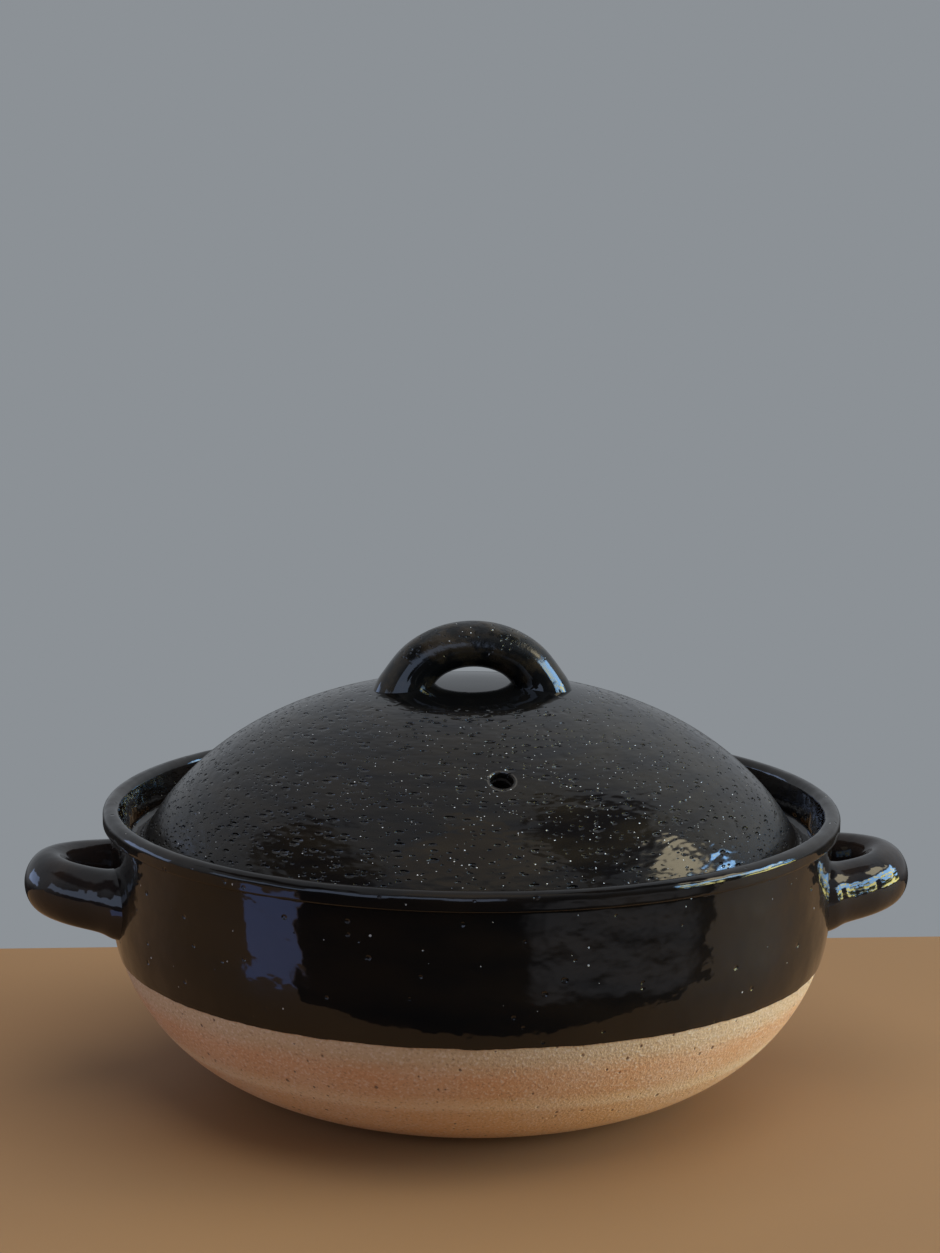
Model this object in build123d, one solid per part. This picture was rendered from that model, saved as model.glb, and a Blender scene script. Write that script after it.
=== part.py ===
"""A round stoneware pot for the stove: a thrown bowl with two pulled lugs, and a domed lid with a pulled handle.

Millimetres, +Z up. The origin is the centre of the foot, on the surface that the pot stands on. The lugs lie
along X, and the steam hole looks to -Y. Sizes are those of the fired surface, with the glaze where there is one.
"""

from build123d import *
import math
import os

# Glaze: how far it stands proud of the bare clay where it ends
GLAZE = 0.6

# Bowl, from its foot to the neck under the lip
FOOT_R = 66.0
FOOT_RING_W = 14.0
FOOT_HOLLOW = 1.6
FOOT_TUCK = 9.0
BELLY_H = 75.0
WALL_R = 142.0
WALL_T = 9.7
WALL_H = 28.0
GLAZE_LINE_DROP = 19.0

# Lip, and the gallery inside it that takes the lid
LIP_OVERHANG = 3.0
LIP_H = 10.6
LIP_UNDERCUT = 3.4
LIP_ROUND = 3.2
LIP_FLAT_W = 0.2
LIP_LOW_ROUND = 2.8
NECK_ROUND = 2.4
GALLERY_T = 9.0
GALLERY_DEPTH = 17.6
GALLERY_ROUND = 3.6
LEDGE_W = 15.6
NOSE_T = 6.0
NOSE_ROUND = 2.4
SLOPE_BEND_SHARE = 0.67

# Lugs on the wall
LUG_OUT = 34.1
LUG_SPAN = 52.0
LUG_REACH = 36.0
LUG_T = 19.4
LUG_W = 24.0
LUG_LIFT = 4.8
LUG_RISE_ANGLE = 5.6

# Lid: its dome, its edge with the small collar above it, and its bare seat
LID_PLAY = 4.5
LID_T = 8.2
DOME_RISE = 64.6
DOME_OVERSIZE = 9.5
COLLAR_STEP = 0.7
COLLAR_DROP = 2.2
COLLAR_DIP = 0.36
COLLAR_ROUND = 0.9
EDGE_W = 2.8
EDGE_GLAZED_H = 2.6
EDGE_BARE_H = 2.0
EDGE_TUCK = 2.1
EDGE_ROUND = 0.9
SEAT_BEVEL_W = 2.0
SEAT_BEVEL_H = 3.5

# Steam hole
STEAM_HOLE_R = 4.1
STEAM_HOLE_MOUTH = 1.2
STEAM_HOLE_IN = 40.0
STEAM_HOLE_BEARING = 2.4

# Handle on the lid
HANDLE_SPAN = 53.0
HANDLE_RISE = 20.8
HANDLE_DROP = 4.4
HANDLE_T = 18.2
HANDLE_W = 24.0

# A dome is flatter on top and fuller at its shoulder than an oval by these two powers
DOME_TOP_POWER = 2.3
DOME_SIDE_POWER = 1.8
DOME_POINTS = 8

# A pulled loop, from its crown to just under the surface that it is luted to
LOOP_ANGLE_SHARES = (0, 0.45, 0.8, 1, 1.16)
LOOP_SWELL_SHARES = (0, 0, 0.06, 0.22, 0.5)
LOOP_SIDE_SWELL_SHARE = 0.3

# How far a cutting tool runs past what it cuts
OVERRUN = 5.0

# Bowl: the heights and radii that follow
BELLY_LOWEST_R = FOOT_R - FOOT_TUCK
GLAZE_LINE_H = BELLY_H - GLAZE_LINE_DROP
NECK_H = BELLY_H + WALL_H
RIM_H = NECK_H + LIP_H
RIM_R = WALL_R + LIP_OVERHANG
RIM_INNER_R = RIM_R - 2 * LIP_ROUND - LIP_FLAT_W
LEDGE_H = RIM_H - GALLERY_DEPTH
LEDGE_R = RIM_R - GALLERY_T
LEDGE_BARE_R = LEDGE_R - GALLERY_ROUND
NOSE_R = LEDGE_R - LEDGE_W

# Lid: the heights and radii that follow
LID_R = LEDGE_R - LID_PLAY
SEAT_R = LID_R - EDGE_TUCK
EDGE_H = EDGE_BARE_H + EDGE_GLAZED_H
COLLAR_H = EDGE_H - COLLAR_DIP
COLLAR_R = LID_R - EDGE_W
DOME_R = COLLAR_R - COLLAR_STEP
DOME_FOOT_H = COLLAR_H + COLLAR_DROP
DOME_HALF_WIDTH = DOME_R + DOME_OVERSIZE
DOME_FOOT_SHARE = (1 - (DOME_R / DOME_HALF_WIDTH) ** DOME_TOP_POWER) ** (1 / DOME_SIDE_POWER)
DOME_HALF_HEIGHT = (DOME_RISE - DOME_FOOT_H) / (1 - DOME_FOOT_SHARE)
DOME_CENTRE_H = LEDGE_H + DOME_RISE - DOME_HALF_HEIGHT
STEAM_HOLE_AT_R = DOME_R - STEAM_HOLE_IN


def belly_size(inset):
    """Half the width and half the height of the oval that the bowl's underside is a quarter of, moved in by inset."""
    wide = WALL_R - GLAZE - BELLY_LOWEST_R
    foot_share = (FOOT_R - BELLY_LOWEST_R) / wide
    high = BELLY_H / math.sqrt(1 - foot_share**2)
    return wide + GLAZE - inset, high + GLAZE - inset


def belly(inset, low_h, high_h):
    """The bowl's round underside between two heights."""
    half_wide, half_high = belly_size(inset)
    first = math.degrees(math.asin((low_h - BELLY_H) / half_high))
    last = math.degrees(math.asin((high_h - BELLY_H) / half_high))
    return EllipticalCenterArc((BELLY_LOWEST_R, BELLY_H), half_wide, half_high, first, arc_size=last - first)


def bowl_rim():
    """Wall, lip and glazed side of the gallery, from the top of the belly to where the ledge is bare."""
    corners = [
        (WALL_R, BELLY_H),
        (WALL_R, NECK_H),
        (RIM_R, NECK_H + LIP_UNDERCUT),
        (RIM_R, RIM_H),
        (RIM_INNER_R, RIM_H),
        (LEDGE_R, LEDGE_H + GLAZE),
        (LEDGE_BARE_R, LEDGE_H + GLAZE),
    ]
    return FilletPolyline(*corners, radius=[NECK_ROUND, LIP_LOW_ROUND, LIP_ROUND, LIP_ROUND, GALLERY_ROUND])


def bowl_ledge():
    """The bare ledge that the lid sits on and its rounded nose, down to the lower corner of the nose."""
    glaze_end = (LEDGE_BARE_R, LEDGE_H + GLAZE)
    corners = [(LEDGE_BARE_R, LEDGE_H), (NOSE_R, LEDGE_H), (NOSE_R, LEDGE_H - NOSE_T)]
    return Line(glaze_end, corners[0]), FilletPolyline(*corners, radius=NOSE_ROUND)


def bowl_section():
    """Half of the bowl, cut through the middle."""
    inner_r = WALL_R - WALL_T
    slope_top = LEDGE_H - NOSE_T
    bend_h = slope_top - (slope_top - BELLY_H) * SLOPE_BEND_SHARE
    slope = Bezier((NOSE_R, slope_top), (inner_r, bend_h), (inner_r, BELLY_H))
    bare = belly(GLAZE, 0, GLAZE_LINE_H)
    glazed = belly(0, GLAZE_LINE_H, BELLY_H)
    inside = EllipticalCenterArc((BELLY_LOWEST_R, BELLY_H), *belly_size(WALL_T), -90, arc_size=90)
    floor = inside @ 0
    hollow_r = FOOT_R - FOOT_RING_W
    edges = [
        ThreePointArc((-hollow_r, 0), (0, FOOT_HOLLOW), (hollow_r, 0)).trim(0.5, 1),
        Line((hollow_r, 0), (FOOT_R, 0)),
        bare,
        Line(bare @ 1, glazed @ 0),
        glazed,
        bowl_rim(),
        *bowl_ledge(),
        slope,
        inside,
        Line((0, floor.Y), floor),
        Line((0, FOOT_HOLLOW), (0, floor.Y)),
    ]
    return make_face(edges)


def dome_height(radius, inset):
    """Height of the lid's dome at a radius, moved in from its outside by inset."""
    fall = (radius / (DOME_HALF_WIDTH - inset)) ** DOME_TOP_POWER
    return DOME_CENTRE_H + (DOME_HALF_HEIGHT - inset) * (1 - fall) ** (1 / DOME_SIDE_POWER)


def dome_radius(height, inset):
    """Radius of the lid's dome at a height, moved in from its outside by inset."""
    rise = ((height - DOME_CENTRE_H) / (DOME_HALF_HEIGHT - inset)) ** DOME_SIDE_POWER
    return (DOME_HALF_WIDTH - inset) * (1 - rise) ** (1 / DOME_TOP_POWER)


def dome_curve(end_r, inset):
    """The dome's outline from the middle of the lid to end_r."""
    angles = [math.radians(90) * step / DOME_POINTS for step in range(DOME_POINTS + 1)]
    radii = [end_r * math.sin(angle) for angle in angles]
    points = [(radius, dome_height(radius, inset)) for radius in radii]
    last_step = radii[-1] - radii[-2]
    slope = dome_height(end_r, inset) - dome_height(end_r - last_step, inset)
    return Spline(*points, tangents=[(1, 0), (last_step, slope)])


def lid_edge():
    """The lid's collar and edge, from the end of the dome down to its bare seat."""
    bare_h = LEDGE_H + EDGE_BARE_H
    bare_r = SEAT_R + (LID_R - GLAZE - SEAT_R) * EDGE_BARE_H / EDGE_H
    collar = FilletPolyline(
        (DOME_R, LEDGE_H + DOME_FOOT_H),
        (COLLAR_R, LEDGE_H + COLLAR_H),
        (LID_R, LEDGE_H + EDGE_H),
        (bare_r + GLAZE, bare_h),
        radius=[COLLAR_ROUND, EDGE_ROUND],
    )
    return collar, Polyline((bare_r + GLAZE, bare_h), (bare_r, bare_h), (SEAT_R, LEDGE_H))


def lid_section():
    """Half of the lid, cut through the middle."""
    hollow_h = LEDGE_H + SEAT_BEVEL_H
    hollow_r = dome_radius(hollow_h, LID_T)
    seat = Polyline((SEAT_R, LEDGE_H), (hollow_r + SEAT_BEVEL_W, LEDGE_H), (hollow_r, hollow_h))
    middle = Line((0, dome_height(0, LID_T)), (0, dome_height(0, 0)))
    return make_face([dome_curve(DOME_R, 0), *lid_edge(), seat, dome_curve(hollow_r, LID_T), middle])


def turned(section):
    """A section turned about the upright axis."""
    return revolve(Plane.XZ * section, Axis.Z)


def pulled_loop(span, reach, thick, wide, root_angle):
    """A bar of clay bent into a bow, swelling into its two roots. The bow bulges to +X, its ends apart along Y."""
    stations = list(zip(LOOP_ANGLE_SHARES, LOOP_SWELL_SHARES))
    stations = [(-share, swell) for share, swell in reversed(stations[1:])] + stations
    sections = []
    for share, swell in stations:
        angle = root_angle * share
        side_swell = 1 + swell * LOOP_SIDE_SWELL_SHARE
        centre = (reach * math.cos(angle), span / 2 * math.sin(angle), 0)
        along = (-reach * math.sin(angle), span / 2 * math.cos(angle), 0)
        plane = Plane(origin=centre, x_dir=(0, 0, 1), z_dir=along)
        sections.append(plane * Ellipse(wide / 2 * side_swell, thick / 2 * (1 + swell)))
    return loft(sections)


def lug():
    """The loop of the lug on the +X side, before it is cut to the wall."""
    centre_r = WALL_R + LUG_OUT - LUG_T / 2 - LUG_REACH
    wall_at_root = math.sqrt(WALL_R**2 - (LUG_SPAN / 2) ** 2)
    root_angle = math.acos((wall_at_root - centre_r) / LUG_REACH)
    loop = pulled_loop(LUG_SPAN, LUG_REACH, LUG_T, LUG_W, root_angle)
    in_place = Pos(wall_at_root, 0, BELLY_H + LUG_LIFT) * Rot(0, -LUG_RISE_ANGLE, 0)
    return in_place * Pos(centre_r - wall_at_root, 0, 0) * loop


def lid_loop():
    """The loop of the lid's handle, before it is cut to the dome. It spans X."""
    foot_h = dome_height(HANDLE_SPAN / 2, 0)
    root_angle = math.acos(HANDLE_DROP / HANDLE_RISE)
    loop = pulled_loop(HANDLE_SPAN, HANDLE_RISE, HANDLE_T, HANDLE_W, root_angle)
    upright = Plane(origin=(0, 0, foot_h - HANDLE_DROP), x_dir=(0, 0, 1), z_dir=(0, 1, 0))
    return upright * loop


def bowl_block(section):
    """The bowl filled up to its rim, as the lugs are cut to its outside."""
    core = Cylinder(WALL_R - WALL_T / 2, NECK_H, align=(Align.CENTER, Align.CENTER, Align.MIN))
    return turned(section) + core


def steam_drill():
    """The steam hole's cutter, square to the dome: a straight hole with a rounded mouth."""
    top_h = dome_height(STEAM_HOLE_AT_R, 0)
    fall = top_h - dome_height(STEAM_HOLE_AT_R + STEAM_HOLE_MOUTH, 0)
    tilt = math.degrees(math.atan2(fall, STEAM_HOLE_MOUTH))
    deep = LID_T + OVERRUN
    mouth_r = STEAM_HOLE_R + STEAM_HOLE_MOUTH
    edges = [
        Polyline((0, OVERRUN), (0, -deep), (STEAM_HOLE_R, -deep), (STEAM_HOLE_R, -STEAM_HOLE_MOUTH)),
        CenterArc((mouth_r, -STEAM_HOLE_MOUTH), STEAM_HOLE_MOUTH, 180, -90),
        Polyline((mouth_r, 0), (mouth_r, OVERRUN), (0, OVERRUN)),
    ]
    cutter = revolve(Plane.XZ * make_face(edges), Axis.Z)
    return Rot(0, 0, STEAM_HOLE_BEARING) * Pos(0, -STEAM_HOLE_AT_R, top_h) * Rot(tilt, 0, 0) * cutter


def pot_parts():
    """The bowl and its two lugs."""
    section = bowl_section()
    right_lug = lug() - bowl_block(section)
    return {
        "pot_body": turned(section),
        "right_lug_handle": right_lug,
        "left_lug_handle": mirror(right_lug, Plane.YZ),
    }


def lid_parts():
    """The lid and its handle."""
    dome = turned(lid_section())
    return {"lid_dome": dome - steam_drill(), "lid_handle": lid_loop() - dome}


os.makedirs("parts", exist_ok=True)
for name, shape in {**pot_parts(), **lid_parts()}.items():
    piece = shape.solid()
    print(name, round(piece.volume), "mm3")
    export_step(piece, f"parts/{name}.step")
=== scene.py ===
"""Looks of a donabe: a thrown stoneware bowl with two pulled lugs, and a domed lid with a pulled handle."""

import bmesh
import bpy
import math
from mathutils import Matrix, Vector


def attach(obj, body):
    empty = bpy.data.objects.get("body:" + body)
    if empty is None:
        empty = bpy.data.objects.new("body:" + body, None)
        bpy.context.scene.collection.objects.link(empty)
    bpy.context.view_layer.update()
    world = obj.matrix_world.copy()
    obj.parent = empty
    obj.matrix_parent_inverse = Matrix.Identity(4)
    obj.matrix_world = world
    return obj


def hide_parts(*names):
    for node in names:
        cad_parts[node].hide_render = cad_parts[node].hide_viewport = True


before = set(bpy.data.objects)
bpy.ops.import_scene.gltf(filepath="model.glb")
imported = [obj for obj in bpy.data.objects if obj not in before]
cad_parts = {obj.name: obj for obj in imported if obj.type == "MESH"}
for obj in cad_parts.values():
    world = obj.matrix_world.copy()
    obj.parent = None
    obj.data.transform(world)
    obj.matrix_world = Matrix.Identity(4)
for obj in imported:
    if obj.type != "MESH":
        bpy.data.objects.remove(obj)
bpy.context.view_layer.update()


# The bowl is thrown from sandy stoneware. It stands on a low foot ring, and its belly is bare. A black-brown
# glaze covers the wall, the lip and the inside, up to the bare ledge that takes the lid. Sizes of all the
# pieces are in millimetres, with radii from the axis and heights from the foot.

MM = 0.001
BELLY_MIDDLE = (57.0, 75.0)
BELLY_HALF = (85.0, 76.03)
GLAZE_DEEP = 0.6
GLAZE_LINE = 56.0
WALL_R = 142.0
WALL_DEEP = 9.7
WALL_FOOT = 75
LIP_R = 145
RIM_TOP = 113.6
GALLERY_R = 132.4
LEDGE_R = 120.4
LEDGE_TOP = 96
LEDGE_UNDER = 90
FLOOR_TOP = 8.67
ROW_FACTS = ("bare", "ridges", "pits", "wander")
SAME_POINT = 0.02


def belly_radius(height, inset):
    """Radius of the bowl's round underside at a height, moved in from the glaze by inset."""
    up = (height - BELLY_MIDDLE[1]) / (BELLY_HALF[1] - inset)
    return BELLY_MIDDLE[0] + (BELLY_HALF[0] - inset) * math.sqrt(max(0.0, 1 - up**2))


def belly_run(low, high, inset, step):
    """Points up the belly from one height to another, evenly spaced along its curve."""
    (middle_r, middle_h), (wide, tall) = BELLY_MIDDLE, BELLY_HALF
    first, last = (math.asin((h - middle_h) / (tall - inset)) for h in (low, high))
    count = max(2, round(abs(last - first) * (wide + tall) / 2 / step))
    angles = [first + (last - first) * i / count for i in range(count + 1)]
    wide, tall = wide - inset, tall - inset
    return [(middle_r + wide * math.cos(a), middle_h + tall * math.sin(a)) for a in angles]


def bend(first, middle, last, count):
    """Points of a smooth bend, from just after first, drawn towards middle, to last."""
    points = []
    for t in (i / count for i in range(1, count + 1)):
        shares = ((1 - t) ** 2, 2 * t * (1 - t), t * t)
        points.append(tuple(sum(s * c for s, c in zip(shares, three)) for three in zip(first, middle, last)))
    return points


def rounded(corners, rounds, step):
    """Points along straight runs with rounded corners, about one every step."""
    runs = [[Vector(corners[0])]]
    for before, here, after, radius in zip(corners, corners[1:], corners[2:], rounds):
        here = Vector(here)
        back = (Vector(before) - here).normalized()
        on = (Vector(after) - here).normalized()
        half = back.angle(on) / 2
        centre = here + (back + on).normalized() * radius / math.sin(half)
        start, end = (here + way * radius / math.tan(half) - centre for way in (back, on))
        count = max(3, round(radius * (math.pi - 2 * half) / step))
        arc = [start.lerp(end, i / count).normalized() * radius + centre for i in range(count + 1)]
        runs[-1].append(arc[0])
        runs.append(arc[1:-1])
        runs.append([arc[-1]])
    runs[-1].append(Vector(corners[-1]))
    points = []
    for run in runs:
        for place in run:
            gap = (place - points[-1]).length if points else 0
            count = max(1, round(gap / step))
            start = points[-1] if points else place
            points += [start.lerp(place, (i + 1) / count) for i in range(count)]
    return [tuple(p) for p in points]


def profile(name, runs):
    """A row of points in the upright plane. Each run is its points and their four facts, each from 0 to 1."""
    mesh = bpy.data.meshes.new(name)
    rows = [(point, facts) for points, *facts in runs for point in points]
    pairs = zip(rows, [None] + rows)
    rows = [row for row, last in pairs if not last or math.dist(row[0], last[0]) > SAME_POINT]
    mesh.from_pydata([(r * MM, 0, h * MM) for (r, h), _ in rows], [], [])
    for number, fact in enumerate(ROW_FACTS):
        values = [facts[number] for _, facts in rows]
        mesh.attributes.new(fact, "FLOAT", "POINT").data.foreach_set("value", values)
    piece = bpy.data.objects.new(name, mesh)
    bpy.context.collection.objects.link(piece)
    return piece


def add(tree, kind, inputs=None, **settings):
    """A node with its settings. Its inputs are numbers, or other nodes' outputs."""
    node = tree.nodes.new(kind)
    for name, value in settings.items():
        setattr(node, name, value)
    for key, value in (inputs or {}).items():
        if isinstance(value, bpy.types.NodeSocket):
            tree.links.new(value, node.inputs[key])
        else:
            node.inputs[key].default_value = value
    return node


def maths(tree, operation, *values):
    """The result of a Math node."""
    return add(tree, "ShaderNodeMath", dict(enumerate(values)), operation=operation).outputs[0]


def product(tree, first, *others):
    """Several values multiplied with each other."""
    for value in others:
        first = maths(tree, "MULTIPLY", first, value)
    return first


def ramp(tree, value, low, high, low_out=0.0, high_out=1.0):
    """A value that goes smoothly from low_out to high_out as another goes from low to high."""
    numbers = dict(enumerate((value, low, high, low_out, high_out)))
    return add(tree, "ShaderNodeMapRange", numbers, interpolation_type="SMOOTHSTEP").outputs[0]


def axis_distance(tree, x, y):
    """Distance from the axis of the wheel."""
    return maths(tree, "SQRT", maths(tree, "ADD", product(tree, x, x), product(tree, y, y)))


def wheel_vector(tree, place, length, width):
    """Coordinates in which marks are that long round the wheel and that wide across it, in metres."""
    x, y, z = add(tree, "ShaderNodeSeparateXYZ", {0: place}).outputs
    across = maths(tree, "SUBTRACT", axis_distance(tree, x, y), z)
    sizes = ((x, length), (y, length), (across, width))
    shares = [maths(tree, "DIVIDE", value, size) for value, size in sizes]
    return add(tree, "ShaderNodeCombineXYZ", dict(enumerate(shares))).outputs[0]


def clouds(tree, place, length, width, seed, detail=2.0, rough=0.5):
    """Soft noise from 0 to 1, drawn out round the wheel."""
    vector = wheel_vector(tree, place, length, width)
    values = {"Vector": vector, "W": seed, "Scale": 1.0, "Detail": detail, "Roughness": rough}
    return add(tree, "ShaderNodeTexNoise", values, noise_dimensions="4D").outputs[0]


def pitted(tree, place, length, width, share, seed):
    """Dents of several sizes, 1 at their bottom and 0 between them, in that share of the cells."""
    least, spread, flat_bottom = 0.16, 0.28, 0.35
    vector = wheel_vector(tree, place, length, width)
    moved = add(tree, "ShaderNodeCombineXYZ", {0: seed, 2: seed}).outputs[0]
    moved = add(tree, "ShaderNodeVectorMath", {0: vector, 1: moved}).outputs[0]
    cells = add(tree, "ShaderNodeTexVoronoi", {"Vector": moved, "Scale": 1.0})
    chance = add(tree, "ShaderNodeSeparateXYZ", {0: cells.outputs["Color"]}).outputs
    reach = maths(tree, "ADD", product(tree, chance[1], spread), least)
    dent = ramp(tree, cells.outputs["Distance"], product(tree, reach, flat_bottom), reach, 1.0, 0.0)
    return product(tree, dent, maths(tree, "LESS_THAN", chance[0], share))


wheel = bpy.data.node_groups.new("turned on the wheel", "GeometryNodeTree")
wheel.interface.new_socket("Geometry", in_out="INPUT", socket_type="NodeSocketGeometry")
for name, kind, value in (
    ("Columns", "Int", 400),
    ("Ridge length", "Float", 0.06),
    ("Ridge width", "Float", 0.005),
    ("Ridge depth", "Float", 0.0002),
    ("Lump size", "Float", 0.012),
    ("Lump depth", "Float", 0.0001),
    ("Pit length", "Float", 0.006),
    ("Pit width", "Float", 0.003),
    ("Pit share", "Float", 0.1),
    ("Pit depth", "Float", 0.0003),
    ("Wander", "Float", 0.0006),
    ("Seed", "Float", 1.0),
):
    wheel.interface.new_socket(name, in_out="INPUT", socket_type="NodeSocket" + kind).default_value = value
for name in ("Glaze", "Clay"):
    wheel.interface.new_socket(name, in_out="INPUT", socket_type="NodeSocketMaterial")
wheel.interface.new_socket("Geometry", in_out="OUTPUT", socket_type="NodeSocketGeometry")


def told(fact):
    """A fact that the profile told its rows."""
    node = add(wheel, "GeometryNodeInputNamedAttribute", {"Name": fact}, data_type="FLOAT")
    return node.outputs["Attribute"]


def moved_by(geometry, direction, distance):
    """The mesh with each point moved along its own direction."""
    offset = {0: direction, "Scale": distance}
    offset = add(wheel, "ShaderNodeVectorMath", offset, operation="SCALE").outputs[0]
    return add(wheel, "GeometryNodeSetPosition", {"Geometry": geometry, "Offset": offset}).outputs[0]


# The flat grid has a column for each angle and a row for each point of the profile.
given = wheel.nodes.new("NodeGroupInput").outputs
rows_in = given["Geometry"]
row_count = add(wheel, "GeometryNodeAttributeDomainSize", {0: rows_in}).outputs["Point Count"]
columns = maths(wheel, "ADD", given["Columns"], 1)
sides = {"Size X": 1.0, "Size Y": 1.0, "Vertices X": columns, "Vertices Y": row_count}
turned = add(wheel, "GeometryNodeMeshGrid", sides).outputs["Mesh"]
here = add(wheel, "GeometryNodeInputPosition").outputs[0]
flat = add(wheel, "ShaderNodeSeparateXYZ", {0: here}).outputs
angle = product(wheel, maths(wheel, "ADD", flat[0], 0.5), 2 * math.pi)
last_row = maths(wheel, "SUBTRACT", row_count, 1)
row = product(wheel, maths(wheel, "ADD", flat[1], 0.5), last_row)
row = maths(wheel, "FLOOR", maths(wheel, "ADD", row, 0.5))
for fact in ROW_FACTS:
    along = add(wheel, "GeometryNodeSampleIndex", {"Geometry": rows_in, "Value": told(fact), "Index": row})
    stored = {"Geometry": turned, "Name": fact, "Value": along.outputs["Value"]}
    turned = add(wheel, "GeometryNodeStoreNamedAttribute", stored, data_type="FLOAT").outputs["Geometry"]

# The rows are bent round the axis, and the seam and both ends are closed.
taken = {"Geometry": rows_in, "Value": here, "Index": row}
point = add(wheel, "GeometryNodeSampleIndex", taken, data_type="FLOAT_VECTOR").outputs["Value"]
radius, _, height = add(wheel, "ShaderNodeSeparateXYZ", {0: point}).outputs
side = product(wheel, radius, maths(wheel, "SINE", angle))
front = product(wheel, radius, product(wheel, maths(wheel, "COSINE", angle), -1))
place = add(wheel, "ShaderNodeCombineXYZ", {0: side, 1: front, 2: height}).outputs[0]
turned = add(wheel, "GeometryNodeSetPosition", {"Geometry": turned, "Position": place}).outputs[0]
turned = add(wheel, "GeometryNodeMergeByDistance", {"Geometry": turned, "Distance": 0.000002}).outputs[0]

# The glaze's edge wanders up and down the belly, which leans out there by 0.29 of its rise.
EDGE_WAVE = 0.011
EDGE_LEAN = 0.29
wandering = clouds(wheel, here, EDGE_WAVE, 0.5, given["Seed"], 4.0, 0.6)
wandering = maths(wheel, "SUBTRACT", wandering, 0.5)
wandering = product(wheel, wandering, product(wheel, given["Wander"], told("wander")))
outwards = add(wheel, "ShaderNodeVectorMath", {0: here, 1: (1, 1, 0)}, operation="MULTIPLY").outputs[0]
outwards = add(wheel, "ShaderNodeVectorMath", {0: outwards}, operation="NORMALIZE").outputs[0]
leaning = {0: outwards, 1: (EDGE_LEAN, EDGE_LEAN, 0), 2: (0, 0, 1)}
leaning = add(wheel, "ShaderNodeVectorMath", leaning, operation="MULTIPLY_ADD").outputs[0]
turned = moved_by(turned, leaning, wandering)

# The fingers leave ridges and lumps, and the gas of the firing leaves pits.
ridges = clouds(wheel, here, given["Ridge length"], given["Ridge width"], given["Seed"])
ridges = product(wheel, ridges, given["Ridge depth"], told("ridges"))
lumps = clouds(wheel, here, given["Lump size"], given["Lump size"], given["Seed"])
lumps = product(wheel, lumps, given["Lump depth"], told("ridges"))
dents = pitted(wheel, here, given["Pit length"], given["Pit width"], given["Pit share"], given["Seed"])
dents = product(wheel, dents, given["Pit depth"], told("pits"))
outside = add(wheel, "GeometryNodeInputNormal").outputs[0]
deep = product(wheel, maths(wheel, "ADD", maths(wheel, "ADD", ridges, lumps), dents), -1)
turned = moved_by(turned, outside, deep)
turned = add(wheel, "GeometryNodeRealizeInstances", {"Geometry": turned}).outputs[0]
turned = add(wheel, "GeometryNodeSetMaterial", {"Geometry": turned, "Material": given["Glaze"]}).outputs[0]
clayed = {"Selection": maths(wheel, "GREATER_THAN", told("bare"), 0.99), "Material": given["Clay"]}
turned = add(wheel, "GeometryNodeSetMaterial", {"Geometry": turned, **clayed}).outputs[0]
wheel.links.new(turned, wheel.nodes.new("NodeGroupOutput").inputs[0])


def turn(rows, name, **values):
    """Turns a profile on the wheel and returns it as a plain closed mesh."""
    modifier = rows.modifiers.new("wheel", "NODES")
    modifier.node_group = wheel
    for item in wheel.interface.items_tree:
        key = item.name.lower().replace(" ", "_")
        if item.in_out == "INPUT" and key in values:
            modifier[item.identifier] = values[key]
    seen = rows.evaluated_get(bpy.context.evaluated_depsgraph_get())
    mesh = bpy.data.meshes.new_from_object(seen)
    bpy.data.objects.remove(rows)
    mesh.name = name
    for fact in ROW_FACTS:
        if fact in mesh.attributes:
            mesh.attributes.remove(mesh.attributes[fact])
    mesh.shade_smooth()
    piece = bpy.data.objects.new(name, mesh)
    bpy.context.collection.objects.link(piece)
    return piece


def material(name):
    """An empty material, its tree and the Principled shader in it."""
    made = bpy.data.materials.new(name)
    made.use_nodes = True
    return made, made.node_tree, made.node_tree.nodes["Principled BSDF"]


def bump(tree, shader, height, distance):
    """A Bump node on the shader, or on top of the one that is there."""
    node = add(tree, "ShaderNodeBump", {"Height": height, "Distance": distance})
    if shader.inputs["Normal"].links:
        tree.links.new(shader.inputs["Normal"].links[0].from_socket, node.inputs["Normal"])
    tree.links.new(node.outputs[0], shader.inputs["Normal"])


def blend(tree, factor, first, second):
    """A colour between two others."""
    return add(tree, "ShaderNodeMix", {0: factor, 6: first, 7: second}, data_type="RGBA").outputs[2]


def effect(name, make, result, **numbers):
    """A shader node group for several materials. Its inputs are the place and the named numbers."""
    group = bpy.data.node_groups.new(name, "ShaderNodeTree")
    group.interface.new_socket("Place", in_out="INPUT", socket_type="NodeSocketVector")
    for key, value in numbers.items():
        group.interface.new_socket(key, in_out="INPUT", socket_type="NodeSocketFloat").default_value = value
    group.interface.new_socket(result, in_out="OUTPUT", socket_type="NodeSocketFloat")
    inputs = list(group.nodes.new("NodeGroupInput").outputs)[: len(numbers) + 1]
    group.links.new(make(group, *inputs), group.nodes.new("NodeGroupOutput").inputs[0])
    return group


def placed(tree, group, place, **values):
    """The result of such a group, placed in a material with its own values."""
    return add(tree, "ShaderNodeGroup", {"Place": place, **values}, node_tree=group).outputs[0]


wheel_marks = effect("wheel marks", clouds, "Marks", Length=0.03, Width=0.01, Seed=1.0, Detail=2.0,
                     Roughness=0.5)
gas_pits = effect("gas pits", pitted, "Depth", Length=0.004, Width=0.003, Share=0.1, Seed=1.0)

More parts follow.
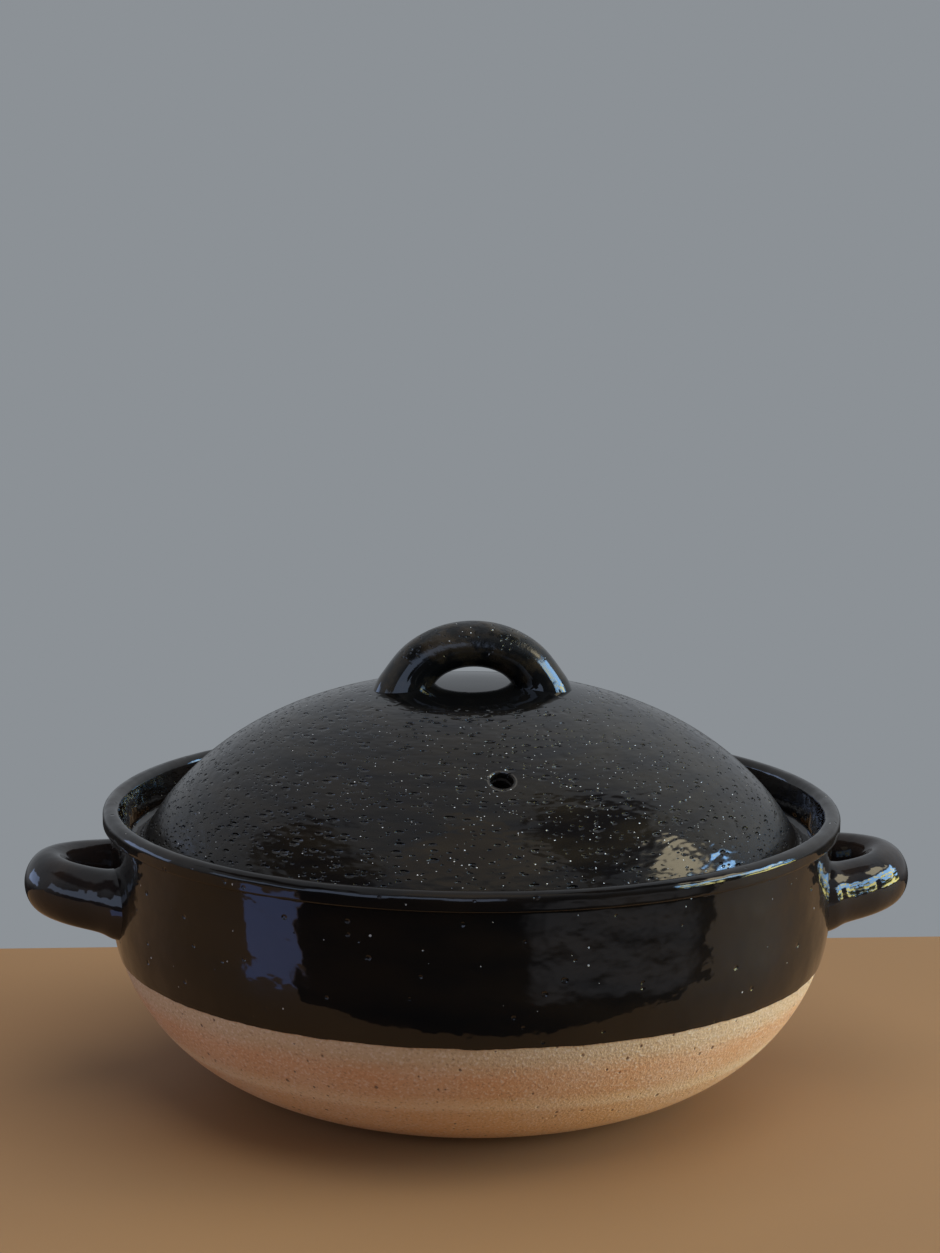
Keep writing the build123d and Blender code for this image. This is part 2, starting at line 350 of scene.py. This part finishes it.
# The fingers left bands of paler and redder clay from the foot up to BANDS_TO, and the narrow pale band at
# 0.47 is a painted highlight. The bands drift a little.
BANDS_TO = 0.06
BANDS_DRIFT = 0.007
bare_clay, tree, shader = material("bare sandy clay")
where = add(tree, "ShaderNodeTexCoord").outputs["Object"]
height = add(tree, "ShaderNodeSeparateXYZ", {0: where}).outputs[2]
drift = placed(tree, wheel_marks, where, Length=0.09, Width=0.012, Seed=3.0, Detail=3.0)
drift = product(tree, maths(tree, "SUBTRACT", drift, 0.5), BANDS_DRIFT)
share = maths(tree, "DIVIDE", maths(tree, "ADD", height, drift), BANDS_TO)
bands = add(tree, "ShaderNodeValToRGB", {0: share})
stops = bands.color_ramp.elements
stops[0].position, stops[0].color = 0.0, (0.78, 0.42, 0.18, 1)
stops[1].position, stops[1].color = 1.0, (0.62, 0.41, 0.23, 1)
for share, colour in (
    (0.25, (0.82, 0.45, 0.18, 1)),
    (0.42, (0.74, 0.40, 0.17, 1)),
    # A painted highlight: the narrow pale band, as of light along a slight ridge.
    (0.47, (0.82, 0.54, 0.28, 1)),
    (0.52, (0.77, 0.46, 0.22, 1)),
    (0.57, (0.69, 0.345, 0.15, 1)),
    (0.72, (0.68, 0.325, 0.14, 1)),
    (0.83, (0.63, 0.39, 0.205, 1)),
):
    stops.new(share).color = colour
grit = add(tree, "ShaderNodeTexNoise", {"Vector": where, "Scale": 900.0, "Detail": 2.0}).outputs[0]
patches = placed(tree, wheel_marks, where, Length=0.03, Width=0.006, Seed=5.0, Detail=4.0, Roughness=0.6)
holes = placed(tree, gas_pits, where, Length=0.0024, Width=0.0018, Share=0.12, Seed=8.0)
colour = bands.outputs[0]
for amount, over in (
    (ramp(tree, patches, 0.35, 0.75, 0.0, 0.3), (0.74, 0.52, 0.33, 1)),
    (ramp(tree, grit, 0.5, 0.72, 0.0, 0.5), (0.84, 0.66, 0.48, 1)),
    (ramp(tree, grit, 0.42, 0.28, 0.0, 0.6), (0.38, 0.20, 0.11, 1)),
    # The holes are painted dark: painted shade inside them.
    (ramp(tree, holes, 0.5, 0.9, 0.0, 0.8), (0.16, 0.09, 0.05, 1)),
):
    colour = blend(tree, amount, colour, over)
tree.links.new(colour, shader.inputs["Base Color"])
shader.inputs["Roughness"].default_value = 0.88
bump(tree, shader, grit, 0.00035)
bump(tree, shader, holes, -0.0004)
bump(tree, shader, placed(tree, wheel_marks, where, Length=0.05, Width=0.0016, Seed=2.0), 0.0004)

wall_glaze, tree, shader = material("black-brown wall glaze")
where = add(tree, "ShaderNodeTexCoord").outputs["Object"]
depth = placed(tree, wheel_marks, where, Length=0.05, Width=0.015, Seed=1.0, Detail=3.0)
colour = blend(tree, ramp(tree, depth, 0.3, 0.7), (0.004, 0.0035, 0.0035, 1), (0.011, 0.007, 0.0045, 1))
# Pale specks, partly the glaze's own crystals and partly painted glints.
specks_and_glints = placed(tree, gas_pits, where, Length=0.0020, Width=0.0020, Share=0.02, Seed=4.0)
colour = blend(tree, ramp(tree, specks_and_glints, 0.6, 0.9, 0.0, 0.7), colour, (0.60, 0.57, 0.53, 1))
tree.links.new(colour, shader.inputs["Base Color"])
shader.inputs["Roughness"].default_value = 0.07
waves = placed(tree, wheel_marks, where, Length=0.016, Width=0.013, Seed=2.0, Detail=1.0)
ripples = placed(tree, wheel_marks, where, Length=0.006, Width=0.004, Seed=6.0, Detail=1.0)
pinholes = placed(tree, gas_pits, where, Length=0.0036, Width=0.0030, Share=0.06, Seed=6.0)
for relief, distance in ((waves, 0.0006), (ripples, 0.00012), (pinholes, -0.0003)):
    bump(tree, shader, relief, distance)

EDGE_CALM = (42, 70)
EDGE_FADE = 12


def edge_wander(point):
    """How much of the glaze line's wander a point of the belly takes, less the further it is from it."""
    below, above = EDGE_CALM
    return min(1, (point[1] - below) / EDGE_FADE, (above - point[1]) / EDGE_FADE)


foot_ring = [(0, 1.6), (10, 1.55), (25, 1.25), (40, 0.66), (52, 0), (54, 0), (60, 0), (65.2, 0), (66, 0.12)]
line_r = belly_radius(GLAZE_LINE, GLAZE_DEEP)
line_bead = ((0.2, -0.12), (0.42, -0.04), (0.56, 0.2), (0.6, 0.55))
line_bead = [(line_r + out, GLAZE_LINE + up) for out, up in line_bead]
gallery_floor = LEDGE_TOP + GLAZE_DEEP
rim = rounded([
    (WALL_R, WALL_FOOT), (WALL_R, 106.1), (LIP_R, 106.5), (LIP_R, RIM_TOP), (138.4, RIM_TOP),
    (136, gallery_floor), (GALLERY_R, gallery_floor),
], [0.4, 0.9, 3.2, 3.2, 3.58], 0.8)
ledge = rounded([(GALLERY_R, LEDGE_TOP), (LEDGE_R, LEDGE_TOP), (LEDGE_R, LEDGE_UNDER)], [2.4], 1.0)
wall_in = WALL_R - WALL_DEEP
under_ledge = bend((LEDGE_R, LEDGE_UNDER), (wall_in, 79.95), (wall_in, WALL_FOOT), 10)
inside = belly_run(WALL_FOOT, FLOOR_TOP + 0.01, WALL_DEEP, 4.0)
bowl_rows = profile("bowl rows", [
    (foot_ring, 1, 0.2, 0, 0),
    (belly_run(0.3, 42, GLAZE_DEEP, 1.6), 1, 1, 0.6, 0),
    *(([p], 1, 0.5, 0.2, edge_wander(p)) for p in belly_run(43, GLAZE_LINE - 0.3, GLAZE_DEEP, 0.9)),
    (line_bead, 0, 0, 0, 1),
    *(([p], 0, 0.5, 0.3, edge_wander(p)) for p in belly_run(GLAZE_LINE + 1.0, 69, 0, 1.0)),
    (belly_run(70, WALL_FOOT, 0, 1.2), 0, 0.8, 1, 0),
    (rim, 0, 0.8, 0.6, 0),
    (ledge, 1, 0.2, 0, 0),
    (under_ledge, 0, 0.4, 0, 0),
    (inside, 0, 0.6, 0, 0),
    ([(r, FLOOR_TOP) for r in (45, 30, 15, 0)], 0, 0.3, 0, 0),
])
bowl = turn(bowl_rows, "thrown_bowl", columns=400, ridge_depth=0.0001, ridge_width=0.009, ridge_length=0.09,
            lump_size=0.016, lump_depth=0.00008, pit_length=0.005, pit_width=0.0035, pit_share=0.03,
            pit_depth=0.0002, wander=0.0022, seed=1.0, glaze=wall_glaze, clay=bare_clay)
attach(bowl, "pot")
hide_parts("pot_body")


# The two lugs are bows of clay, pulled by hand, luted to the wall and wiped smooth round their roots. They
# carry a thick and glossy coat of the same black-brown glaze.

BOW_RINGS = 84
BOW_SIDES = 56
BOW_SHARES = (0, 0.45, 0.8, 1, 1.16)
BOW_SWELL = (0, 0, 0.06, 0.22, 0.5)
SIDE_SWELL = 0.3
FLARE_FULL = 1.05
FLARE_REACH = 0.085


def swelling(share):
    """How much thicker a pulled bow is at a share of the way from its crown to its root."""
    for low, high, first, last in zip(BOW_SHARES, BOW_SHARES[1:], BOW_SWELL, BOW_SWELL[1:]):
        if share <= high:
            t = (share - low) / (high - low)
            return first + (last - first) * t * (0.5 + 0.5 * t)
    return BOW_SWELL[-1]


def bridged(mesh, rings):
    """Closes a tube of rings of points, with a face over each end, and turns its faces outwards."""
    for first, second in zip(rings, rings[1:]):
        for number in range(len(first)):
            after = (number + 1) % len(first)
            mesh.faces.new((first[number], first[after], second[after], second[number]))
    for ring in (rings[0], rings[-1]):
        mesh.faces.new(ring)
    bmesh.ops.recalc_face_normals(mesh, faces=mesh.faces)


def finished(name, mesh, finish):
    """An object of a mesh in hand, in its material."""
    made = bpy.data.meshes.new(name)
    mesh.to_mesh(made)
    mesh.free()
    made.materials.append(finish)
    piece = bpy.data.objects.new(name, made)
    bpy.context.collection.objects.link(piece)
    return piece


def pulled_bow(name, finish, size, root, uneven_at, stand, flare, pinch):
    """A bow of clay, closed at both hidden ends. stand(x, y, z) sets it in place, flare widens its roots."""
    span, reach, thick, wide = size
    mesh = bmesh.new()
    rings = []
    for ring in range(BOW_RINGS + 1):
        share = (ring / BOW_RINGS * 2 - 1) * BOW_SHARES[-1]
        turn_by = root * share
        swell = swelling(abs(share))
        spread = flare * math.exp(-(max(0, FLARE_FULL - abs(share)) / FLARE_REACH) ** 2)
        across = wide / 2 * (1 + SIDE_SWELL * swell) + spread
        deep = thick / 2 * (1 + swell) + spread
        centre = Vector((reach * math.cos(turn_by), span / 2 * math.sin(turn_by), 0))
        along = Vector((-reach * math.sin(turn_by), span / 2 * math.cos(turn_by), 0)).normalized()
        out = along.cross(Vector((0, 0, 1)))
        points = []
        for number in range(BOW_SIDES):
            turn_at = 2 * math.pi * number / BOW_SIDES
            uneven = 1 - pinch * (0.5 + 0.5 * math.sin(3 * share + 2 * turn_at + uneven_at))
            up = Vector((0, 0, across * uneven * math.sin(turn_at)))
            point = centre + out * deep * uneven * math.cos(turn_at) + up
            points.append(mesh.verts.new([c * MM for c in stand(*point)]))
        rings.append(points)
    bridged(mesh, rings)
    piece = finished(name, mesh, finish)
    piece.data.shade_smooth()
    return piece


handle_glaze, tree, shader = material("thick gloss glaze of the handles")
where = add(tree, "ShaderNodeTexCoord").outputs["Object"]
pool = add(tree, "ShaderNodeTexNoise", {"Vector": where, "Scale": 60.0, "Detail": 3.0}).outputs[0]
colour = blend(tree, ramp(tree, pool, 0.35, 0.7), (0.010, 0.008, 0.008, 1), (0.020, 0.013, 0.010, 1))
tree.links.new(colour, shader.inputs["Base Color"])
shader.inputs["Roughness"].default_value = 0.05
bump(tree, shader, pool, 0.0006)

LUG_SPAN = 52.0
LUG_REACH = 36.0
LUG_THICK = 19.4
LUG_WIDE = 24.0
LUG_OUT = 34.1
LUG_HEIGHT = 79.8
LUG_TILT = math.radians(5.6)
lug_root_x = math.sqrt(WALL_R**2 - (LUG_SPAN / 2) ** 2)
lug_back = WALL_R + LUG_OUT - LUG_THICK / 2 - LUG_REACH - lug_root_x
lug_root = math.acos(-lug_back / LUG_REACH)


def lug_place(x, y, z):
    """Where a point of the right lug's bow goes on the wall, tilted up a little."""
    out = x + lug_back
    return (
        lug_root_x + out * math.cos(LUG_TILT) - z * math.sin(LUG_TILT),
        y,
        LUG_HEIGHT + out * math.sin(LUG_TILT) + z * math.cos(LUG_TILT),
    )


def left_lug_place(x, y, z):
    """The left lug's place, opposite the right one."""
    out, along, up = lug_place(x, y, z)
    return -out, along, up


lug_size = (LUG_SPAN, LUG_REACH, LUG_THICK, LUG_WIDE)
for hand, place, uneven_at in (("right", lug_place, 0.4), ("left", left_lug_place, 2.1)):
    lug = pulled_bow(hand + "_lug_bow", handle_glaze, lug_size, lug_root, uneven_at, place,
                     flare=1.4, pinch=0.012)
    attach(lug, "pot")
    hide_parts(hand + "_lug_handle")


# The lid is thrown as a dome with a turned edge, and rests by its bare seat on the ledge. A black glaze,
# pinholed by the gas of the sandy clay, covers it down over a small collar. A steam hole is bored in front.

DOME_MIDDLE = 71.0
DOME_HIGH = 89.6
DOME_WIDE = 137.5
DOME_POWERS = (2.3, 1.8)
DOME_FOOT_R = 128.0
DOME_ROWS = 132
CROWN_ROWS = 20
LID_DEEP = 8.2
HOLLOW_R = 120.41
HOLLOW_ROWS = 26
SEAT_R = 130.05
SEAT_END = 98


def dome_height(radius, inset):
    """Height of the dome at a radius, moved in from its outside by inset."""
    fall = (radius / (DOME_WIDE - inset)) ** DOME_POWERS[0]
    return DOME_MIDDLE + (DOME_HIGH - inset) * (1 - fall) ** (1 / DOME_POWERS[1])


# The steam hole's width and rounded mouth, where it is bored and how it leans. HOLE_PLACE is in metres.
HOLE_R = 4.1
HOLE_ROUND = 1.2
HOLE_OUT = 88.0
HOLE_TILT = math.radians(29.9)
HOLE_TURN = math.radians(2.4)
HOLE_PLACE = (0.0037, -0.0879, 0.1397)

lid_glaze, tree, shader = material("satin black lid glaze")
where = add(tree, "ShaderNodeTexCoord").outputs["Object"]
x, y, z = add(tree, "ShaderNodeSeparateXYZ", {0: where}).outputs
from_axis = axis_distance(tree, x, y)
outer = ramp(tree, from_axis, 0.038, 0.052)

# Under the handle the colour is darkest, a painted shade of the handle above it. Further out the glaze is
# thinner here and there, and browner.
depth = placed(tree, wheel_marks, where, Length=0.03, Width=0.012, Seed=1.0, Detail=3.0)
colour = blend(tree, ramp(tree, depth, 0.3, 0.7), (0.006, 0.005, 0.005, 1), (0.016, 0.012, 0.008, 1))
colour = blend(tree, outer, (0.003, 0.003, 0.003, 1), colour)

# Pale specks, partly the glaze's own crystals and partly painted glints, most of them low on the front, and a
# painted highlight round the mouth of the steam hole.
front = product(tree, ramp(tree, y, -0.04, -0.09), ramp(tree, x, -0.09, 0.0))
crowded = maths(tree, "ADD", product(tree, front, 0.10), 0.02)
specks_and_glints = placed(tree, gas_pits, where, Length=0.0013, Width=0.0013, Share=crowded, Seed=12.0)
clear = placed(tree, wheel_marks, where, Length=0.004, Width=0.004, Seed=4.0)
specks_and_glints = product(tree, ramp(tree, specks_and_glints, 0.5, 0.95), outer, ramp(tree, clear, 0.35, 0.6, 0.25, 1.0))
colour = blend(tree, product(tree, specks_and_glints, 0.9), colour, (0.85, 0.84, 0.82, 1))
# A painted highlight on the rounded mouth of the steam hole.
from_hole = add(tree, "ShaderNodeVectorMath", {0: where, 1: HOLE_PLACE}, operation="DISTANCE")
from_hole = from_hole.outputs["Value"]
painted_hole_highlight = product(tree, ramp(tree, from_hole, 0.0049, 0.0052), ramp(tree, from_hole, 0.0058, 0.0054))
colour = blend(tree, product(tree, painted_hole_highlight, 0.4), colour, (0.14, 0.12, 0.10, 1))
tree.links.new(colour, shader.inputs["Base Color"])

# Glossy where it pooled and over most of the dome, and satin at the foot of the dome on its sides and back.
foot_satin = product(tree, ramp(tree, from_axis, 0.105, 0.125, 0.0, 0.22), ramp(tree, y, -0.085, -0.055))
foot_satin = product(tree, foot_satin, ramp(tree, from_axis, 0.1286, 0.1280))
gloss = maths(tree, "ADD", ramp(tree, from_axis, 0.044, 0.06, 0.04, 0.10), foot_satin)
tree.links.new(gloss, shader.inputs["Roughness"])

# Pits of two sizes, denser on the left, and a leathery skin.
pricked = ramp(tree, x, -0.02, -0.09, 0.45, 0.85)
fine = placed(tree, gas_pits, where, Length=0.0030, Width=0.0021, Share=pricked, Seed=6.0)
middling = placed(tree, gas_pits, where, Length=0.0060, Width=0.0038, Share=pricked, Seed=9.0)
leather = placed(tree, wheel_marks, where, Length=0.0070, Width=0.0045, Seed=7.0, Detail=1.0)
for relief, distance in ((fine, -0.0013), (middling, -0.0015), (leather, 0.0003)):
    bump(tree, shader, product(tree, relief, outer), distance)

dome_radii = [DOME_FOOT_R * math.sin(math.pi / 2 * (1 - i / DOME_ROWS)) for i in range(DOME_ROWS + 1)]
dome = [(r, dome_height(r, 0)) for r in dome_radii]
hollow_radii = [HOLLOW_R * i / HOLLOW_ROWS for i in range(HOLLOW_ROWS + 1)]
hollow = [(r, dome_height(r, LID_DEEP)) for r in hollow_radii]
seat = rounded([(HOLLOW_R, 99.5), (HOLLOW_R + 2, LEDGE_TOP), (SEAT_R - 0.65, LEDGE_TOP), (SEAT_R, SEAT_END)],
               [0.5, 0.4], 0.8)
collar = rounded([
    (SEAT_R, SEAT_END), (SEAT_R + GLAZE_DEEP, SEAT_END), (131.5, 100.6), (128.7, 100.24),
    (DOME_FOOT_R, 102.44),
], [0.25, 0.9, 0.9], 0.4)
lid_rows = profile("lid rows", [
    (hollow, 0, 0.4, 0, 0),
    (seat, 1, 0.2, 0, 0),
    (collar[1:], 0, 0.2, 0.2, 0),
    (dome[:-CROWN_ROWS], 0, 1, 1, 0),
    (dome[-CROWN_ROWS:], 0, 0.2, 0.1, 0),
])
lid = turn(lid_rows, "thrown_lid", columns=490, ridge_depth=0.00005, ridge_width=0.004, ridge_length=0.03,
           lump_size=0.008, lump_depth=0.00012, pit_length=0.0055, pit_width=0.004, pit_share=0.25,
           pit_depth=0.0003, wander=0.0, seed=4.0, glaze=lid_glaze, clay=bare_clay)

# The drill for the steam hole widens to a round mouth, just under the skin of the dome.
DRILL_SIDES = 48
DRILL_DEEP = 12.0
MOUTH_DOWN = 0.12
drill = bmesh.new()
drill_rows = [(HOLE_R, -DRILL_DEEP), (HOLE_R, -HOLE_ROUND)]
for a in (0.3, 0.6, 0.9, 1.2, 1.5):
    drill_rows.append((HOLE_R + HOLE_ROUND * (1 - math.cos(a)), -HOLE_ROUND + HOLE_ROUND * math.sin(a)))
drill_rows.append((HOLE_R + HOLE_ROUND + 0.4, 3.0))
tilt_cos, tilt_sin = math.cos(HOLE_TILT), math.sin(HOLE_TILT)
turn_cos, turn_sin = math.cos(HOLE_TURN), math.sin(HOLE_TURN)
rings = []
for radius, along in drill_rows:
    ring = []
    for number in range(DRILL_SIDES):
        a = 2 * math.pi * number / DRILL_SIDES
        x, y, z = radius * math.cos(a), radius * math.sin(a), along
        y, z = y * tilt_cos - z * tilt_sin, y * tilt_sin + z * tilt_cos
        y, z = y - HOLE_OUT, z + dome_height(HOLE_OUT, 0) - MOUTH_DOWN
        x, y = x * turn_cos - y * turn_sin, x * turn_sin + y * turn_cos
        ring.append(drill.verts.new((x * MM, y * MM, z * MM)))
    rings.append(ring)
bridged(drill, rings)
drill = finished("steam drill", drill, lid_glaze)
bore = lid.modifiers.new("steam hole", "BOOLEAN")
bore.object = drill
bore.operation = "DIFFERENCE"
bore.solver = "EXACT"
bored = bpy.data.meshes.new_from_object(lid.evaluated_get(bpy.context.evaluated_depsgraph_get()))
lid.modifiers.clear()
lid.data = bored
bpy.data.objects.remove(drill)
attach(lid, "lid")
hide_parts("lid_dome")


# The lid's handle is one more pulled bow, standing across the crown. Its top is mottled and pinholed like the
# lid, and the glaze has run down and pooled to a gloss round its two feet.

top_glaze, tree, shader = material("mottled glaze of the lid handle")
where = add(tree, "ShaderNodeTexCoord").outputs["Object"]
height = add(tree, "ShaderNodeSeparateXYZ", {0: where}).outputs[2]
up = ramp(tree, height, 0.167, 0.182)
pool = add(tree, "ShaderNodeTexNoise", {"Vector": where, "Scale": 110.0, "Detail": 4.0}).outputs[0]
colour = blend(tree, ramp(tree, pool, 0.45, 0.62), (0.004, 0.004, 0.004, 1), (0.024, 0.017, 0.010, 1))
# Pale specks on the top, partly the glaze's own crystals and partly painted glints.
specks_and_glints = placed(tree, gas_pits, where, Length=0.0017, Width=0.0017, Share=0.08, Seed=2.0)
specks_and_glints = product(tree, ramp(tree, specks_and_glints, 0.6, 0.95), up)
colour = blend(tree, product(tree, specks_and_glints, 0.9), colour, (0.70, 0.68, 0.65, 1))
tree.links.new(colour, shader.inputs["Base Color"])
tree.links.new(ramp(tree, height, 0.165, 0.178, 0.04, 0.25), shader.inputs["Roughness"])
bump(tree, shader, product(tree, pool, up), 0.0012)
dents = placed(tree, gas_pits, where, Length=0.0032, Width=0.0026, Share=0.6, Seed=5.0)
bump(tree, shader, product(tree, dents, up), -0.0005)

HANDLE_SPAN = 53.0
HANDLE_REACH = 20.8
HANDLE_THICK = 18.2
HANDLE_WIDE = 24.0
HANDLE_SUNK = 4.4
handle_foot = dome_height(HANDLE_SPAN / 2, 0)
handle_root = math.acos(HANDLE_SUNK / HANDLE_REACH)


def handle_place(x, y, z):
    """Where a point of the handle's bow goes, standing on the crown of the lid."""
    return y, z, x + handle_foot - HANDLE_SUNK


handle_size = (HANDLE_SPAN, HANDLE_REACH, HANDLE_THICK, HANDLE_WIDE)
handle = pulled_bow("lid_bow", top_glaze, handle_size, handle_root, 1.0, handle_place,
                    flare=0.5, pinch=0.015)
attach(handle, "lid")
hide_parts("lid_handle")


# The pot stands on a plain board in front of a plain pale background. A broad soft lamp hangs above it, and a
# low one shines from the right. The windows and the dark places that its glaze mirrors are in the world.

BOARD_THICK = 0.02
board_paint, tree, shader = material("pale board")
shader.inputs["Base Color"].default_value = (0.33, 0.18, 0.08, 1)
shader.inputs["Roughness"].default_value = 0.6
shader.inputs["Specular IOR Level"].default_value = 0.2
board = bmesh.new()
corners = (
    (-1.3, 0.19), (-1.3, -0.9), (-0.21, -0.205), (0.16, -0.215), (0.33, -0.19), (0.75, -0.3), (0.75, 0.19),
)
top = board.faces.new([board.verts.new((x, y, 0)) for x, y in corners])
below = bmesh.ops.extrude_face_region(board, geom=[top])["geom"]
below = [v for v in below if isinstance(v, bmesh.types.BMVert)]
bmesh.ops.translate(board, verts=below, vec=(0, 0, -BOARD_THICK))
bmesh.ops.recalc_face_normals(board, faces=board.faces)
board = finished("board", board, board_paint)


def softbox(name, place, aim, size, strength, colour, in_gloss):
    """A rectangular lamp of even brightness, turned to a point, that may be kept out of the gloss."""
    lamp = bpy.data.lights.new(name, "AREA")
    lamp.shape = "RECTANGLE"
    lamp.size, lamp.size_y = size
    lamp.energy = strength * math.pi * size[0] * size[1]
    lamp.color = colour
    piece = bpy.data.objects.new(name, lamp)
    piece.location = place
    piece.rotation_euler = (Vector(aim) - Vector(place)).to_track_quat("-Z", "Y").to_euler()
    piece.visible_camera = False
    piece.visible_glossy = in_gloss
    bpy.context.collection.objects.link(piece)


softbox("soft light from above", (0.2, -0.3, 2.0), (0, 0, 0), (2.0, 2.0),
        strength=2.0, colour=(0.96, 0.98, 1.0), in_gloss=False)
softbox("low light from the right window", (1.4, -0.3, 0.2), (0, 0, 0.04), (0.7, 0.4),
        strength=13.4, colour=(0.56, 0.77, 1.0), in_gloss=False)
softbox("dim light of the room", (-0.6, -1.4, 0.4), (0, 0, 0.04), (1.0, 0.7),
        strength=0.35, colour=(1.0, 0.86, 0.66), in_gloss=False)
softbox("window's glare on the board", (-0.297, -0.203, 0.026), (-0.08, -0.117, 0.09), (0.095, 0.05),
        strength=1.0, colour=(0.16, 0.375, 1.0), in_gloss=True)

RAGGED = 0.12
PLAIN = (0.262, 0.283, 0.305, 1)
DARK = (0.02, 0.02, 0.02, 1)
WINDOW = (0.8, 1.0, 1.4, 1)
world = bpy.data.worlds.new("room")
world.use_nodes = True
bpy.context.scene.world = world
tree = world.node_tree
way = add(tree, "ShaderNodeTexCoord").outputs["Generated"]
x, y, z = add(tree, "ShaderNodeSeparateXYZ", {0: way}).outputs
leaves = add(tree, "ShaderNodeTexNoise", {"Vector": way, "Scale": 14.0, "Detail": 3.0}).outputs[0]
ragged = product(tree, maths(tree, "SUBTRACT", leaves, 0.5), RAGGED)
bearing = maths(tree, "ADD", maths(tree, "ARCTAN2", x, product(tree, y, -1)), ragged)
rise = maths(tree, "ADD", maths(tree, "ARCSINE", z), ragged)


def opening(room, left, right, low, high, colour, soft=0.02):
    """The room with a window or a dark place in it. Degrees, the bearing from the front, to the right."""
    mask = 1.0
    for value, edge, sense in ((bearing, left, 1), (bearing, right, -1), (rise, low, 1), (rise, high, -1)):
        edge = math.radians(edge)
        mask = product(tree, ramp(tree, value, edge - soft * sense, edge + soft * sense), mask)
    return blend(tree, mask, room, colour)


# The room is dark low in the front and pale high at the back.
back = ramp(tree, maths(tree, "ADD", y, z), -0.5, 0.6)
room = blend(tree, back, (0.03, 0.03, 0.032, 1), (0.29, 0.31, 0.335, 1))

# A pale wall behind on the right, and dark places high up on both sides of a warm ceiling.
room = opening(room, 110, 165, 15, 60, (0.42, 0.45, 0.48, 1), 0.25)
room = opening(room, 50, 118, 48, 76, (0.01, 0.01, 0.01, 1), 0.05)
room = opening(room, -45, 45, 58, 95, (0.42, 0.37, 0.31, 1), 0.15)
room = opening(room, -112, -50, 36, 58, (0.02, 0.018, 0.016, 1), 0.08)

# The windows on the left, with a dark post, one more behind them, and a bright curtain on the right.
room = opening(room, -90, 6, 5, 19, WINDOW)
room = opening(room, -56, 6, 15, 33, WINDOW)
room = opening(room, -30, -12, 3, 13, DARK)
room = opening(room, -135, -108, -2, 14, (1.0, 1.3, 2.0, 1))
room = opening(room, 78, 100, 31, 43, (4.2, 3.7, 2.6, 1))

# The dark below, with a paler place low on the right.
room = blend(tree, ramp(tree, z, 0.0, -0.25), room, DARK)
room = opening(room, 15, 68, -18, -10, (0.28, 0.28, 0.30, 1), 0.08)

# The right window, with sunlit foliage under a blue sky, and a dark post in it.
boughs = {"Vector": way, "Scale": 5.0, "Detail": 5.0, "Roughness": 0.6}
boughs = add(tree, "ShaderNodeTexNoise", boughs).outputs[0]
foliage = blend(tree, ramp(tree, boughs, 0.44, 0.56), (0.2, 0.3, 0.1, 1), (11.0, 10.0, 3.5, 1))
above = ramp(tree, maths(tree, "ADD", leaves, product(tree, rise, 0.4)), 0.58, 0.64)
room = opening(room, 62, 109, -5, 28, blend(tree, above, foliage, (3.5, 7.0, 12.0, 1)))
room = opening(room, 74, 84, -10, 18, DARK)
light_path = add(tree, "ShaderNodeLightPath").outputs
seen = maths(tree, "MAXIMUM", light_path["Is Camera Ray"], light_path["Is Transmission Ray"])
tree.links.new(blend(tree, seen, room, PLAIN), tree.nodes["Background"].inputs["Color"])

camera = bpy.data.cameras.new("camera")
camera.lens = 78.88
viewer = bpy.data.objects.new("camera", camera)
viewer.location = (-0.087335, -1.057752, 0.359022)
viewer.rotation_euler = [math.radians(a) for a in (80.5651, -0.545, -4.5576)]
bpy.context.collection.objects.link(viewer)
bpy.context.scene.camera = viewer
bpy.context.scene.view_settings.view_transform = "Standard"
